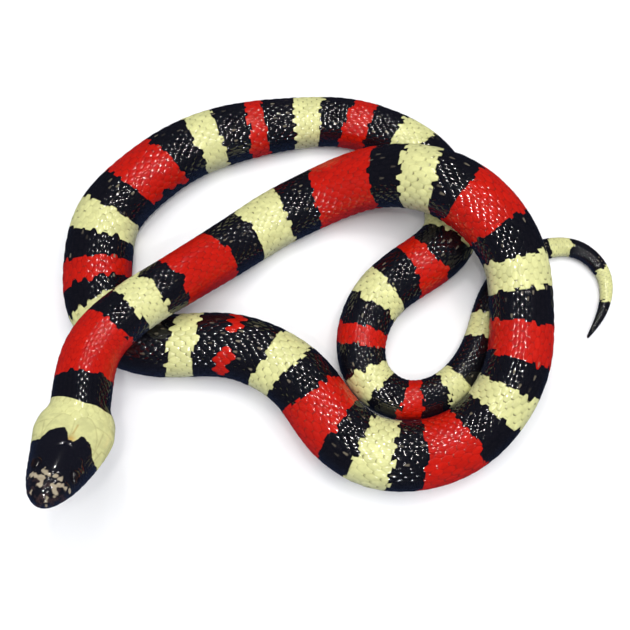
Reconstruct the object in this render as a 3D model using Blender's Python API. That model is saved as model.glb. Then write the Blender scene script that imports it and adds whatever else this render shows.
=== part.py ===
"""A young milk snake, life size, resting in loose coils with its head raised.

The animal is one smooth route seen from above, from the snout to the tip of the
tail. Rings of points stand along that route. The head is cut from the same rings
with its own widths and heights, and is parted from the lower jaw along the mouth.
Lengths are in millimetres here and become metres when the meshes are made.
"""
import math

import bmesh
import bpy
import numpy as np

MM = 0.001
GAP = 0.3                  # between one node and the next

# The spine seen from above, chosen by hand along the animal, snout first.
ROUTE = [
    (-44.9, -41.0), (-42.8, -28.5), (-43.0, -20.0), (-42.0, -11.0), (-37.0, -4.5), (-30.0, 1.5),
    (-22.0, 9.0), (-14.0, 16.0), (-5.5, 21.5), (3.5, 25.5), (13.0, 27.0), (22.0, 25.0),
    (30.0, 21.0), (36.5, 15.0), (40.5, 7.5), (41.5, -2.0), (41.0, -11.0), (37.0, -20.5),
    (29.5, -27.5), (20.0, -30.5), (11.0, -29.5), (3.5, -24.0), (-2.0, -16.5), (-9.0, -11.0),
    (-18.0, -8.0), (-28.0, -8.0), (-38.0, -6.5), (-44.0, -0.5), (-45.5, 9.5), (-44.0, 20.0),
    (-37.5, 28.5), (-28.5, 35.5), (-17.5, 40.0), (-5.5, 42.5), (5.5, 43.0), (16.0, 40.0),
    (24.5, 34.0), (29.0, 25.0), (28.5, 15.5), (21.5, 9.0), (14.0, 3.0), (10.0, -5.0),
    (11.0, -14.0), (17.5, -18.5), (25.0, -17.5), (30.5, -13.0), (34.0, -6.5), (37.0, 1.5),
    (41.5, 9.0), (49.5, 14.0), (57.0, 14.0), (62.0, 8.5), (61.5, 1.0), (58.0, -5.0),
]
MIDDLE = (5.8, 3.3)        # middle of the outline, which becomes the origin
# Distance along the route, and the width of the body there.
WIDTHS = [
    (0, 10.4), (21, 10.8), (44, 10.3), (69, 11.6), (104, 12.8), (118, 13.3), (139, 12.4),
    (164, 12.6), (192, 13.8), (214, 13.4), (246, 12.7), (269, 13.8), (289, 12.9), (310, 12.5),
    (336, 10.5), (354, 10.7), (384, 11.8), (406, 10.4), (424, 8.4), (444, 6.9), (464, 5.4),
    (476, 4.3), (490, 3.1), (499, 1.9), (504, 0.7),
]
# Distance along the route, and the height of the belly over the floor there.
LIFTS = [
    (0, 30.2), (6, 25.4), (12, 20.6), (16, 18.0), (21, 15.8), (30, 13.2), (43, 11.6), (72, 0.0), (82, 0.0),
    (115, 10.8), (141, 6.9), (153, 4.4), (173, 0.0), (504, 0.0),
]
# Distance along the route, and how far the body rolls to its left there, in degrees.
ROLLS = [(0, 11.0), (12, 12.5), (20, 9.0), (40, 0.0), (504, 0.0)]
DEPTH = 0.86               # height of the body over its width
BELLY_CUT = 0.94           # the belly is flat below this share of its depth
BELLY_ROUND = 2.6          # above 2 squares off the lower flanks
BODY_SIDES = 24
BODY_STEP = 4.0            # between one ring of the body and the next

# Head, by distance from the snout.
HEAD_END = 17.5
HALF_WIDTHS = [(0.0, 0.9), (0.3, 1.7), (0.8, 2.45), (1.5, 3.05), (3.2, 4.1), (5.3, 5.0), (8.4, 6.05),
               (11.0, 6.8), (12.8, 7.1), (15.0, 6.8), (17.5, 5.6)]
TOPS = [(0.0, 0.2), (0.3, 0.9), (0.8, 1.4), (1.5, 1.8), (3.2, 2.5), (5.3, 3.0), (8.4, 3.5),
        (11.0, 3.8), (14.0, 4.2), (17.5, 4.5)]
LIPS = [(0.0, -1.1), (1.6, -1.2), (5.3, -1.5), (8.0, -1.45), (10.3, -1.0), (17.5, 0.0)]
THROATS = [(0.0, -1.6), (0.3, -1.9), (0.8, -2.2), (1.5, -2.5), (3.2, -2.95), (5.3, -3.3),
           (8.4, -3.8), (11.0, -4.2), (14.0, -4.4), (17.5, -4.5)]
ROUNDS = [(0.0, 2.3), (1.6, 2.2), (5.3, 1.85), (9.0, 2.0), (17.5, 2.0)]
MOUTH_CORNER = 9.8         # where the mouth ends, behind the eye
NOSE_PLACES = np.array([0.0, 0.12, 0.3, 0.6, 0.95])
CHIN_PLACES = np.array([0.02, 0.12, 0.3, 0.6, 1.0])
HEAD_SIDES = 48
HEAD_STEP = 0.37
JAW_INSET = 0.25           # the lower jaw closes inside the upper lip
JAW_BACK = 0.6             # and behind the tip of the snout
JAW_ROUND = 1.5            # its own tip is round over this length
JAW_SQUARE = 2.3           # above 2 squares off the chin

# Seams between the shields of the crown, on the left side: distance from the
# snout, and distance from the middle line.
SEAMS = [
    [(0.9, 1.6), (1.3, 0.0)],
    [(1.3, 0.0), (3.5, 0.0)],
    [(2.4, 0.0), (2.2, 2.4)],
    [(3.5, 0.0), (3.7, 1.6), (4.1, 2.5), (3.6, 3.2)],
    [(4.1, 2.5), (7.0, 2.2), (8.3, 0.0)],
    [(7.0, 2.2), (7.3, 3.9)],
    [(8.3, 0.0), (12.5, 0.0)],
    [(7.3, 3.9), (9.0, 4.8), (10.8, 4.5), (12.3, 3.7), (13.2, 2.6), (13.3, 1.4), (12.5, 0.0)],
]
CROWN_END = 13.5           # the shields end here, before the scales of the neck
CROWN_END_FADE = 0.6
CROWN_SIDE = 0.55          # and at this sine of the angle round the head
CROWN_SIDE_FADE = 0.2
SHIELD_RISE = 0.2          # how far the shields stand over their seams
SEAM_WIDTH = 0.42

EYE_AT = (4.8, 3.2, 1.1)   # from the snout, from the middle, over the spine
EYE_RADIUS = 1.2
EYE_GAP = 0.2
EYE_SEGMENTS = 20
NOSTRIL_AT = (1.3, 3.1, 0.45)
NOSTRIL_RADIUS = 0.28
NOSTRIL_DEPTH = 0.7
NOSTRIL_SIDES = 10

NECK_END = 44.0
VENT_AT = 432.0
BODY_LENGTHS = 14
TAIL_LENGTHS = 3

BLACK = (0.012, 0.011, 0.014)
CREAM = (0.78, 0.75, 0.38)
RED = (0.60, 0.018, 0.006)
SCALE_ROUGHNESS = 0.3
EYE_ROUGHNESS = 0.08
SPINE_SAMPLES = 4000
SLOPE_REACH = 0.05         # the slope is measured this far to each side
ON_SEAM = 1e-6             # a sine below this is on the line of the lips
SHARP_ANGLE = 40           # degrees, past which an edge stays sharp


def steady_curve(keys, places):
    """Return a smooth curve through the keys that never passes above or below them."""
    x, y = np.array(keys, float).T
    step = np.diff(x)
    rise = np.diff(y) / step
    slope = np.zeros(len(x))
    product = rise[:-1] * rise[1:]
    same_way = product > 0
    slope[1:-1][same_way] = 2 * product[same_way] / (rise[:-1] + rise[1:])[same_way]
    slope[0] = 1.5 * rise[0] - 0.5 * slope[1]
    slope[-1] = 1.5 * rise[-1] - 0.5 * slope[-2]
    left = np.clip(np.searchsorted(x, places, side="right") - 1, 0, len(step) - 1)
    u = (places - x[left]) / step[left]
    start = y[left] + u * step[left] * slope[left] * (1 - u) ** 2
    blend = u * u * (3 - 2 * u)
    return start + blend * (y[left + 1] - y[left]) - u * u * (1 - u) * step[left] * slope[left + 1]


def natural_spline(points, count):
    """Return points on the natural cubic spline through the given ones."""
    points = np.array(points, float)
    step = np.linalg.norm(np.diff(points, axis=0), axis=1)
    knots = np.concatenate([[0.0], np.cumsum(step)])
    size = len(points)
    matrix = np.eye(size)
    right = np.zeros((size, 2))
    slopes = np.diff(points, axis=0) / step[:, None]
    for i in range(1, size - 1):
        matrix[i, i - 1:i + 2] = step[i - 1], 2 * (step[i - 1] + step[i]), step[i]
        right[i] = 6 * (slopes[i] - slopes[i - 1])
    bend = np.linalg.solve(matrix, right)
    places = np.linspace(0, knots[-1], count)
    left = np.clip(np.searchsorted(knots, places, side="right") - 1, 0, size - 2)
    h = step[left][:, None]
    a = (knots[left + 1] - places)[:, None]
    b = (places - knots[left])[:, None]
    ends = points[left] * a / h + points[left + 1] * b / h
    return ends + (bend[left] * a * (a * a - h * h) + bend[left + 1] * b * (b * b - h * h)) / (6 * h)


class Spine:
    """The route with its distances, heights and directions."""

    def __init__(self):
        self.plan = natural_spline(ROUTE, SPINE_SAMPLES) - MIDDLE
        steps = np.diff(self.plan, axis=0)
        self.distance = np.concatenate([[0.0], np.cumsum(np.linalg.norm(steps, axis=1))])
        self.length = self.distance[-1]
        heading = np.unwrap(np.arctan2(steps[:, 1], steps[:, 0]))
        self.heading = np.interp(self.distance, (self.distance[1:] + self.distance[:-1]) / 2, heading)

    def frames(self, places):
        """Return the centre, and the directions back along the body, to its left and up."""
        places = np.asarray(places, float)
        turn = np.interp(places, self.distance, self.heading)
        lift = steady_curve(LIFTS, places)
        rise = steady_curve(LIFTS, places + SLOPE_REACH) - steady_curve(LIFTS, places - SLOPE_REACH)
        pitch = np.arctan(rise / (2 * SLOPE_REACH))
        centre = np.stack([np.interp(places, self.distance, self.plan[:, 0]),
                           np.interp(places, self.distance, self.plan[:, 1]),
                           lift + DEPTH * steady_curve(WIDTHS, places) / 2], axis=1)
        back = np.stack([np.cos(turn) * np.cos(pitch), np.sin(turn) * np.cos(pitch), np.sin(pitch)], axis=1)
        left = np.stack([np.sin(turn), -np.cos(turn), np.zeros_like(turn)], axis=1)
        up = np.cross(back, -left)
        roll = np.radians(steady_curve(ROLLS, places))[:, None]
        return (centre, back, left * np.cos(roll) - up * np.sin(roll),
                up * np.cos(roll) + left * np.sin(roll))


SPINE = Spine()


def power(value, exponent):
    """Raise to a power and keep the sign."""
    return np.sign(value) * np.abs(value) ** exponent


def body_rings(places, sides):
    """Return rings round the body: a rounded back and a flat belly."""
    angle = np.linspace(0, 2 * math.pi, sides, endpoint=False)[None, :]
    half = steady_curve(WIDTHS, np.asarray(places, float))[:, None] / 2
    lower = np.sin(angle) < 0
    across = np.where(lower, half * power(np.cos(angle), 2 / BELLY_ROUND), half * np.cos(angle))
    deep = DEPTH * half
    under = np.maximum(deep / BELLY_CUT * power(np.sin(angle), 2 / BELLY_ROUND), -deep)
    return to_world(places, across, np.where(lower, under, deep * np.sin(angle)))


def to_world(places, across, above):
    """Set ring points, given to the left of and above the spine, in the world."""
    centre, _, left, up = SPINE.frames(places)
    return centre[:, None, :] + across[..., None] * left[:, None, :] + above[..., None] * up[:, None, :]


def seam_distance(place, across):
    """Return how far each point of the crown is from the nearest seam."""
    best = np.full(np.broadcast(place, across).shape, np.inf)
    side = np.abs(across)
    for seam in SEAMS:
        for (x0, y0), (x1, y1) in zip(seam, seam[1:]):
            run = (x1 - x0) ** 2 + (y1 - y0) ** 2
            t = np.clip(((place - x0) * (x1 - x0) + (side - y0) * (y1 - y0)) / run, 0, 1)
            best = np.minimum(best, np.hypot(place - x0 - t * (x1 - x0), side - y0 - t * (y1 - y0)))
    return best


def head_section(places, angle):
    """Return the head's outline, across and above the spine, for angles from the left lip."""
    place = np.asarray(places, float)
    half, top, lip, throat, bow = [steady_curve(keys, place)[:, None]
                                   for keys in (HALF_WIDTHS, TOPS, LIPS, THROATS, ROUNDS)]
    blend = np.clip((place - MOUTH_CORNER) / (HEAD_END - MOUTH_CORNER), 0, 1)[:, None]
    blend = blend * blend * (3 - 2 * blend)
    inset = JAW_INSET * (1 - blend)
    squaring = JAW_SQUARE + (BELLY_ROUND - JAW_SQUARE) * blend
    lower = np.sin(angle) < 0
    across = np.where(lower, (half - inset) * power(np.cos(angle), 2 / squaring),
                      half * power(np.cos(angle), 2 / bow))
    depth = (lip - throat) * (1 + blend * (1 / BELLY_CUT - 1))
    under = np.maximum(lip + depth * power(np.sin(angle), 2 / squaring), throat)
    over = lip + (top - lip) * power(np.abs(np.sin(angle)), 2 / bow)
    raised = np.clip(seam_distance(place[:, None], across) / SEAM_WIDTH, 0, 1)
    crown = np.clip((np.sin(angle) - CROWN_SIDE) / CROWN_SIDE_FADE, 0, 1)
    crown = crown * np.clip((CROWN_END - place[:, None]) / CROWN_END_FADE, 0, 1)
    return across, np.where(lower, under, over + SHIELD_RISE * (raised - 1) * crown), lip


def skull_rings(places, corner_open):
    """Return the upper head: cut flat at the mouth, whole behind its corner."""
    angle = np.linspace(0, 2 * math.pi, HEAD_SIDES, endpoint=False)[None, :]
    across, above, lip = head_section(places, angle)
    open_mouth = (np.asarray(places)[:, None] < corner_open) & (np.sin(angle) < -ON_SEAM)
    at_lip = np.abs(np.sin(angle)) < ON_SEAM
    above = np.where(open_mouth, lip + GAP / 2, above)
    above = np.where(at_lip & (np.asarray(places)[:, None] < corner_open), lip + GAP / 2, above)
    return to_world(places, across, above)


def jaw_rings(places):
    """Return the lower jaw: the lower half of the head, flat on top."""
    angle = np.linspace(math.pi, 2 * math.pi, HEAD_SIDES // 2 + 1)[None, :]
    across, above, lip = head_section(places, angle)
    above = np.minimum(above, lip - GAP / 2)
    reach = np.clip((np.asarray(places)[:, None] - JAW_BACK) / JAW_ROUND, 0, 1)
    swell = np.sqrt(reach * (2 - reach))
    return to_world(places, across * swell, lip - GAP / 2 + (above - lip + GAP / 2) * swell)


def mesh_object(name, verts, faces, material):
    """Make a closed object with faces that point out and smooth shading."""
    mesh = bpy.data.meshes.new(name)
    mesh.from_pydata(verts.tolist(), [], faces)
    shape = bmesh.new()
    shape.from_mesh(mesh)
    bmesh.ops.recalc_face_normals(shape, faces=shape.faces)
    shape.to_mesh(mesh)
    shape.free()
    mesh.shade_smooth()
    mesh.set_sharp_from_angle(angle=math.radians(SHARP_ANGLE))
    mesh.materials.append(material)
    item = bpy.data.objects.new(name, mesh)
    bpy.context.collection.objects.link(item)
    return item


def loft(name, rings, material):
    """Join rings into a closed tube with a flat face at each end."""
    count, sides = rings.shape[:2]
    verts = rings.reshape(-1, 3) * MM
    faces = []
    for i in range(count - 1):
        for j in range(sides):
            k = (j + 1) % sides
            faces.append((i * sides + j, i * sides + k, (i + 1) * sides + k, (i + 1) * sides + j))
    faces.append(tuple(range(sides)))
    faces.append(tuple(range((count - 1) * sides, count * sides)))
    return mesh_object(name, verts, faces, material)


def cut(item, cutters):
    """Take the cutters out of an object, apply the cut and remove them."""
    group = bpy.data.collections.new(item.name + "_cutters")
    bpy.context.scene.collection.children.link(group)
    for cutter in cutters:
        bpy.context.collection.objects.unlink(cutter)
        group.objects.link(cutter)
    modifier = item.modifiers.new("cut", "BOOLEAN")
    modifier.operation = "DIFFERENCE"
    modifier.operand_type = "COLLECTION"
    modifier.collection = group
    modifier.solver = "EXACT"
    bpy.context.view_layer.update()
    result = bpy.data.meshes.new_from_object(item.evaluated_get(bpy.context.evaluated_depsgraph_get()))
    item.modifiers.clear()
    item.data = result
    for cutter in list(group.objects):
        bpy.data.objects.remove(cutter, do_unlink=True)
    bpy.data.collections.remove(group)


def surface_material(name, colour, roughness):
    """Make a plain material for one node."""
    material = bpy.data.materials.new(name)
    material.use_nodes = True
    shader = material.node_tree.nodes["Principled BSDF"]
    shader.inputs["Base Color"].default_value = (*colour, 1)
    shader.inputs["Roughness"].default_value = roughness
    shader.inputs["Metallic"].default_value = 0
    return material


def head_point(place, side, above):
    """Return a world point given from the snout, the middle line and the spine."""
    return to_world([place], np.array([[side]]), np.array([[above]]))[0, 0]


def ball(name, centre, radius, material=None):
    """Make a round ball."""
    shape = bmesh.new()
    bmesh.ops.create_uvsphere(shape, u_segments=EYE_SEGMENTS, v_segments=EYE_SEGMENTS // 2,
                              radius=radius * MM)
    mesh = bpy.data.meshes.new(name)
    shape.to_mesh(mesh)
    shape.free()
    mesh.shade_smooth()
    if material:
        mesh.materials.append(material)
    item = bpy.data.objects.new(name, mesh)
    item.location = centre * MM
    bpy.context.collection.objects.link(item)
    return item


def nostril(side):
    """Make the small round cutter for one nostril, lying across the snout."""
    place, across, above = NOSTRIL_AT
    angle = np.linspace(0, 2 * math.pi, NOSTRIL_SIDES, endpoint=False)
    rings = []
    for reach in (across - NOSTRIL_DEPTH, across + NOSTRIL_DEPTH):
        ring = [head_point(place + NOSTRIL_RADIUS * math.cos(a), side * reach,
                           above + NOSTRIL_RADIUS * math.sin(a)) for a in angle]
        rings.append(ring)
    return loft("nostril", np.array(rings), None)


def ring_places(start, end, step):
    """Return even places from start to end, no further apart than the step."""
    return np.linspace(start, end, max(2, math.ceil((end - start) / step) + 1))


def build_head():
    """Make the upper head, the lower jaw and both eyes."""
    skin = surface_material("head_scales", BLACK, SCALE_ROUGHNESS)
    wall = MOUTH_CORNER - GAP
    front = np.concatenate([NOSE_PLACES, ring_places(NOSE_PLACES[-1] + HEAD_STEP, wall, HEAD_STEP)])
    rear = ring_places(MOUTH_CORNER, HEAD_END - GAP / 2, 2 * HEAD_STEP)
    head = loft("head", skull_rings(np.concatenate([front, rear]), MOUTH_CORNER), skin)
    cutters = [nostril(side) for side in (-1, 1)]
    glass = surface_material("eye", BLACK, EYE_ROUGHNESS)
    for name, side in (("eye_left", 1), ("eye_right", -1)):
        centre = head_point(EYE_AT[0], side * EYE_AT[1], EYE_AT[2])
        ball(name, centre, EYE_RADIUS, glass)
        cutters.append(ball(name + "_socket", centre, EYE_RADIUS + EYE_GAP))
    cut(head, cutters)
    chin = JAW_BACK + JAW_ROUND * CHIN_PLACES
    jaw_places = np.concatenate([chin, ring_places(chin[-1] + HEAD_STEP, wall - GAP, 2 * HEAD_STEP)])
    loft("lower_jaw", jaw_rings(jaw_places), surface_material("jaw_scales", BLACK, SCALE_ROUGHNESS))


def build_lengths():
    """Make the neck, the lengths of the body and the lengths of the tail."""
    ends = [HEAD_END, NECK_END]
    names = ["neck"]
    for i in range(BODY_LENGTHS):
        names.append(f"body_{i + 1:02d}")
        ends.append(NECK_END + (VENT_AT - NECK_END) * (i + 1) / BODY_LENGTHS)
    for i in range(TAIL_LENGTHS):
        names.append(f"tail_{i + 1}")
        ends.append(VENT_AT + (SPINE.length - VENT_AT) * (i + 1) / TAIL_LENGTHS)
    for number, (name, start, end) in enumerate(zip(names, ends, ends[1:])):
        last = name == names[-1]
        places = ring_places(start + GAP / 2, end if last else end - GAP / 2, BODY_STEP)
        colour = CREAM if number % 2 else RED
        skin = surface_material(name + "_scales", colour, SCALE_ROUGHNESS)
        loft(name, body_rings(places, BODY_SIDES), skin)


def main():
    for item in list(bpy.data.objects):
        bpy.data.objects.remove(item, do_unlink=True)
    build_head()
    build_lengths()


main()
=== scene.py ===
# %% [markdown]
# # A milk snake, dressed for show
#
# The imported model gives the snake's plain solids and where they lie. This lesson
# puts the animal's surface round them: one skin, thousands of smooth overlapping
# scales in rings of red, black and cream, a head with its shields, and two eyes.
# Every shape is worked out with numpy from the line of the spine.

import math

import bpy
import numpy as np
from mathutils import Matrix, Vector


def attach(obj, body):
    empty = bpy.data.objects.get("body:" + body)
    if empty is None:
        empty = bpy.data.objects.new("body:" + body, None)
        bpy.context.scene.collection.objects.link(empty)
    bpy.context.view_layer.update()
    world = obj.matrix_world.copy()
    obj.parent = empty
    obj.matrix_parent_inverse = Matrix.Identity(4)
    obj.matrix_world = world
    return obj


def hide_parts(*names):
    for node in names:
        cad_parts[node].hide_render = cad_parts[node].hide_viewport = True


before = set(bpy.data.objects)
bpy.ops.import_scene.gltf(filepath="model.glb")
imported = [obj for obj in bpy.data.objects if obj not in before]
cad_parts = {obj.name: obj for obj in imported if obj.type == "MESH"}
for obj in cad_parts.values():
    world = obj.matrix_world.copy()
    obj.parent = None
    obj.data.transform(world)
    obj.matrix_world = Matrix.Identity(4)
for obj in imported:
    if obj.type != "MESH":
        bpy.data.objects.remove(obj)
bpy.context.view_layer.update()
MM = 0.001

# %% [markdown]
# ## The floor
#
# A museum photograph of a specimen is taken on white paper, and a large flat sheet
# under the model does that here. The helpers that every later step uses come first:
# one feeds the inputs of a node, and one puts an object into the scene.

# %% Floor and first helpers
FLOOR_SIZE = 3.0
FLOOR_COLOUR = (0.96, 0.96, 0.965)
FLOOR_ROUGHNESS = 0.9


def feed(tree, node, inputs):
    """Give a node's inputs their values: a link from a socket, or else the value."""
    for key, value in inputs.items():
        if isinstance(value, bpy.types.NodeSocket):
            tree.links.new(value, node.inputs[key])
        else:
            node.inputs[key].default_value = value
    return node


def node_material(name, colour=(0.5, 0.5, 0.5), roughness=0.5):
    """Make a material and return it with its node tree and its Principled shader."""
    material = bpy.data.materials.new(name)
    material.use_nodes = True
    tree = material.node_tree
    inputs = {"Base Color": (*colour, 1), "Roughness": roughness}
    return material, tree, feed(tree, tree.nodes["Principled BSDF"], inputs)


def add_object(name, data):
    """Put a new object that holds the data into the scene, at the origin."""
    item = bpy.data.objects.new(name, data)
    bpy.context.scene.collection.objects.link(item)
    return item


half = FLOOR_SIZE / 2
floor_mesh = bpy.data.meshes.new("paper_floor")
floor_mesh.from_pydata([(-half, -half, 0), (half, -half, 0), (half, half, 0), (-half, half, 0)],
                       [], [(0, 1, 2, 3)])
floor_mesh.materials.append(node_material("paper", FLOOR_COLOUR, FLOOR_ROUGHNESS)[0])
floor = add_object("paper_floor", floor_mesh)
floor.visible_glossy = False  # the gloss of the flanks mirrors the dim room instead
print("a paper floor of", FLOOR_SIZE, "m")

# %% [markdown]
# ## The light and the camera
#
# The soft light comes from three wide lamps. Six lamps, as small as a coin, put the hard
# glints on the scales. The wide lamps are kept out of the reflections, because a
# black scale would mirror them as grey. The flanks mirror a dim blue room, which the
# camera itself sees as a pale wall past the floor's edge.

# %% Lamps
WHITE, COOL = (1.0, 1.0, 1.0), (0.96, 0.98, 1.0)
WARM, BLUE = (1.0, 0.97, 0.93), (0.90, 0.95, 1.0)
COIN = 0.012
# Name, place, width, power, colour, and whether the gloss mirrors it.
LAMPS = [
    ("glint_near", (-0.01, -0.06, 0.29), COIN, 0.07, WARM, True),
    ("glint_low", (-0.01, -0.15, 0.26), COIN, 0.07, WARM, True),
    ("glint_far", (-0.02, 0.08, 0.29), COIN, 0.06, WARM, True),
    ("glint_side", (0.11, 0.07, 0.28), COIN, 0.05, WARM, True),
    ("glint_back", (0.02, 0.30, 0.30), COIN, 0.10, WARM, True),
    ("glint_front", (0.02, -0.45, 0.16), 0.022, 0.16, BLUE, True),
    ("soft_top", (0.05, 0.1, 0.75), 0.7, 4.35, WHITE, False),
    ("soft_left", (-0.5, -0.2, 0.45), 0.5, 1.3, COOL, False),
    ("soft_right", (0.5, -0.1, 0.45), 0.5, 1.3, COOL, False),
]

for name, place, size, power, colour, mirrored in LAMPS:
    data = bpy.data.lights.new(name, "AREA")
    data.shape = "DISK"
    data.size, data.energy, data.color = size, power, colour
    lamp = add_object(name, data)
    lamp.location = place
    lamp.rotation_euler = Vector(place).to_track_quat("Z", "Y").to_euler()    # faces the origin
    lamp.visible_glossy = mirrored
print(len(LAMPS), "lamps")

# %% Room and camera
ROOM_COLOUR, ROOM_LIGHT = (0.40, 0.52, 1.0), 0.07
WALL_COLOUR = (0.86, 0.87, 0.88)
CAMERA_AT = (-0.0057, -0.05185, 0.18063)
CAMERA_TILT = 15.0  # degrees away from straight down
LENS = 50.0
NEAREST = 0.01  # the camera sees things from here on

world = bpy.data.worlds.new("studio")
bpy.context.scene.world = world
world.use_nodes = True
tree = world.node_tree
room = feed(tree, tree.nodes["Background"], {"Color": (*ROOM_COLOUR, 1), "Strength": ROOM_LIGHT})
wall = feed(tree, tree.nodes.new("ShaderNodeBackground"), {"Color": (*WALL_COLOUR, 1)})
ray = tree.nodes.new("ShaderNodeLightPath")
either = feed(tree, tree.nodes.new("ShaderNodeMixShader"), {
    0: ray.outputs["Is Camera Ray"], 1: room.outputs["Background"], 2: wall.outputs["Background"]})
feed(tree, tree.nodes["World Output"], {"Surface": either.outputs["Shader"]})

camera_data = bpy.data.cameras.new("camera")
camera_data.lens = LENS
camera_data.clip_start = NEAREST
camera = add_object("camera", camera_data)
camera.location = CAMERA_AT
camera.rotation_euler = (math.radians(CAMERA_TILT), 0, 0)
bpy.context.scene.camera = camera
bpy.context.scene.view_settings.view_transform = "Standard"
print("camera at", CAMERA_AT)

# %% [markdown]
# ## The line of the spine
#
# A snake is one long tube, so everything on it is placed by the distance from the tip
# of the snout. The route seen from above is a natural cubic spline, the curve that a
# bent steel rule takes. Widths, heights over the floor and the roll of the head are
# short tables, joined by a curve that never swings past its keys. The numbers are
# those of the solids, so that the skin lies on them.

# %% Tables of the body
ROUTE = [
    (-44.9, -41.0), (-42.8, -28.5), (-43.0, -20.0), (-42.0, -11.0), (-37.0, -4.5), (-30.0, 1.5),
    (-22.0, 9.0), (-14.0, 16.0), (-5.5, 21.5), (3.5, 25.5), (13.0, 27.0), (22.0, 25.0),
    (30.0, 21.0), (36.5, 15.0), (40.5, 7.5), (41.5, -2.0), (41.0, -11.0), (37.0, -20.5),
    (29.5, -27.5), (20.0, -30.5), (11.0, -29.5), (3.5, -24.0), (-2.0, -16.5), (-9.0, -11.0),
    (-18.0, -8.0), (-28.0, -8.0), (-38.0, -6.5), (-44.0, -0.5), (-45.5, 9.5), (-44.0, 20.0),
    (-37.5, 28.5), (-28.5, 35.5), (-17.5, 40.0), (-5.5, 42.5), (5.5, 43.0), (16.0, 40.0),
    (24.5, 34.0), (29.0, 25.0), (28.5, 15.5), (21.5, 9.0), (14.0, 3.0), (10.0, -5.0),
    (11.0, -14.0), (17.5, -18.85), (25.0, -17.9), (30.85, -13.1), (34.5, -6.5), (37.0, 1.5),
    (41.5, 9.0), (49.5, 14.0), (57.0, 14.0), (62.0, 8.5), (61.5, 1.0), (58.0, -5.0),
]
MIDDLE = (5.8, 3.3)
WIDTHS = [
    (0, 10.4), (21, 10.8), (44, 10.3), (69, 11.6), (104, 12.8), (118, 13.3), (139, 12.4),
    (164, 12.6), (192, 13.8), (214, 13.4), (246, 12.7), (269, 13.8), (289, 12.9), (310, 12.5),
    (336, 10.5), (354, 10.7), (384, 11.8), (406, 10.4), (424, 8.4), (444, 6.9), (464, 5.4),
    (476, 4.3), (490, 3.1), (499, 1.9), (504, 0.7),
]
LIFTS = [
    (0, 30.2), (6, 25.4), (12, 20.6), (16, 18.0), (21, 15.8), (30, 13.2), (43, 11.6),
    (72, 0.0), (82, 0.0), (115, 10.8), (141, 6.9), (153, 4.4), (173, 0.0), (504, 0.0),
]
ROLLS = [(0, 11.0), (12, 12.5), (20, 9.0), (40, 0.0), (504, 0.0)]
DEPTH = 0.86  # height of the body over its width
BELLY_CUT = 0.94  # the belly is flat below this share of its depth
BELLY_ROUND = 2.6  # above 2 squares off the lower flanks
SPINE_SAMPLES = 4000
print(len(ROUTE), "points on the route")

# %% A curve through a table
def steady_curve(keys, places):
    """Read a table at the places: a cubic between keys whose slopes are harmonic means."""
    x, y = np.array(keys, float).T
    step = np.diff(x)
    rise = np.diff(y) / step
    slope = np.zeros(len(x))
    product = rise[:-1] * rise[1:]
    same_way = product > 0
    slope[1:-1][same_way] = 2 * product[same_way] / (rise[:-1] + rise[1:])[same_way]
    slope[0] = 1.5 * rise[0] - 0.5 * slope[1]
    slope[-1] = 1.5 * rise[-1] - 0.5 * slope[-2]
    places = np.clip(places, x[0], x[-1])
    left = np.clip(np.searchsorted(x, places, side="right") - 1, 0, len(step) - 1)
    u = (places - x[left]) / step[left]
    start = y[left] + u * step[left] * slope[left] * (1 - u) ** 2
    blend = u * u * (3 - 2 * u)
    end = (1 - u) * step[left] * slope[left + 1]
    return start + blend * (y[left + 1] - y[left]) - u * u * end


print("width of the body at 100 mm:", steady_curve(WIDTHS, np.array([100.0])).round(2))

# %% The route of the spine
def lengths_along(points):
    """Return each point's distance from the first: the sum of the steps before it."""
    steps = np.linalg.norm(np.diff(points, axis=0), axis=1)
    return np.concatenate([[0.0], np.cumsum(steps)])


def natural_spline(points, count):
    """Sample the spline whose bend is nothing at its ends and even across each point."""
    points = np.array(points, float)
    knots = lengths_along(points)
    step = np.diff(knots)
    size = len(points)
    matrix = np.eye(size)
    right = np.zeros((size, 2))
    slopes = np.diff(points, axis=0) / step[:, None]
    for i in range(1, size - 1):
        matrix[i, i - 1:i + 2] = step[i - 1], 2 * (step[i - 1] + step[i]), step[i]
        right[i] = 6 * (slopes[i] - slopes[i - 1])
    bend = np.linalg.solve(matrix, right)
    places = np.linspace(0, knots[-1], count)
    left = np.clip(np.searchsorted(knots, places, side="right") - 1, 0, size - 2)
    h = step[left][:, None]
    a = (knots[left + 1] - places)[:, None]
    b = (places - knots[left])[:, None]
    ends = points[left] * a / h + points[left + 1] * b / h
    sag = bend[left] * a * (a * a - h * h) + bend[left + 1] * b * (b * b - h * h)
    return ends + sag / (6 * h)


plan = natural_spline(ROUTE, SPINE_SAMPLES) - MIDDLE
plan_steps = np.diff(plan, axis=0)
plan_distance = lengths_along(plan)
LENGTH = float(plan_distance[-1])
plan_heading = np.interp(plan_distance, (plan_distance[1:] + plan_distance[:-1]) / 2,
                         np.unwrap(np.arctan2(plan_steps[:, 1], plan_steps[:, 0])))
print(f"the spine is {LENGTH:.1f} mm long seen from above")

# %% [markdown]
# At each place the spine has three directions: back towards the tail, to the animal's
# left, and up. A point of the surface is the centre plus so much to the left and so
# much up. This keeps the rings of the belly upright, so they can lie flat on the floor.

# %% Directions along the spine
SLOPE_REACH = 0.05


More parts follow.
